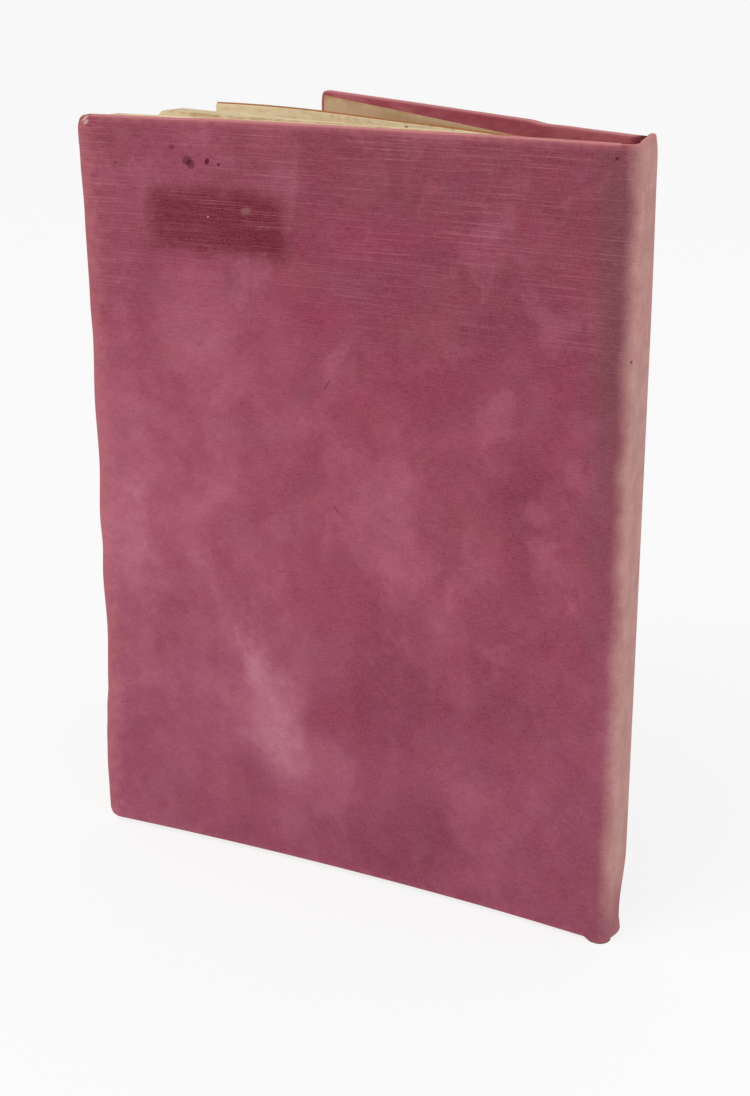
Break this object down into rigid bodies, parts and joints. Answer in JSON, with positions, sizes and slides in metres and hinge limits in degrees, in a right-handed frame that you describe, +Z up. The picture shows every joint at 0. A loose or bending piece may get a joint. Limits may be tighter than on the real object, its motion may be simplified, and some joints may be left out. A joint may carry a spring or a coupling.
{
  "type": "hardback book",
  "caption": "Worn cloth-bound hardback book standing on its tail, front cover part open, with loose leaves fanned from a thick text block.",
  "frame": {"origin": "foot of the back cover's outer face, where its board ends at the joint", "axes": "+Z up to the head along the spine, -X towards the fore edge, +Y from the back cover to the front cover"},
  "size_m": [0.1945, 0.1228, 0.2523],
  "materials": {
    "page_paper": "matte",
    "flyleaf_paper": "matte",
    "endpaper": "matte",
    "mull_gauze": "matte",
    "spine_card": "matte",
    "greyboard": "matte",
    "book_cloth": "matte",
    "spine_book_cloth": "matte"
  },
  "bodies": {
    "root": {"text_block": "page_paper", "back_flyleaf": "flyleaf_paper", "front_flyleaf": "flyleaf_paper", "mull_spine": "mull_gauze", "spine_inlay": "spine_card", "spine_cloth": "spine_book_cloth"},
    "back_cover": {"back_board": "greyboard", "back_cloth": "book_cloth", "back_mull_flange": "mull_gauze", "back_pastedown": "endpaper"},
    "front_cover": {"front_board": "greyboard", "front_cloth": "book_cloth", "front_mull_flange": "mull_gauze", "front_pastedown": "endpaper"}
  },
  "joints": [
    {"name": "back_cover_hinge", "type": "hinge", "parent": "root", "child": "back_cover", "pos_m": [0.0034, -0.00015, 0], "axis": [0, 0, 1], "range_deg": [0, 180]},
    {"name": "front_cover_hinge", "type": "hinge", "parent": "root", "child": "front_cover", "pos_m": [0, 0.02475, 0], "axis": [0, 0, -1], "range_deg": [-13, 149]}
  ]
}
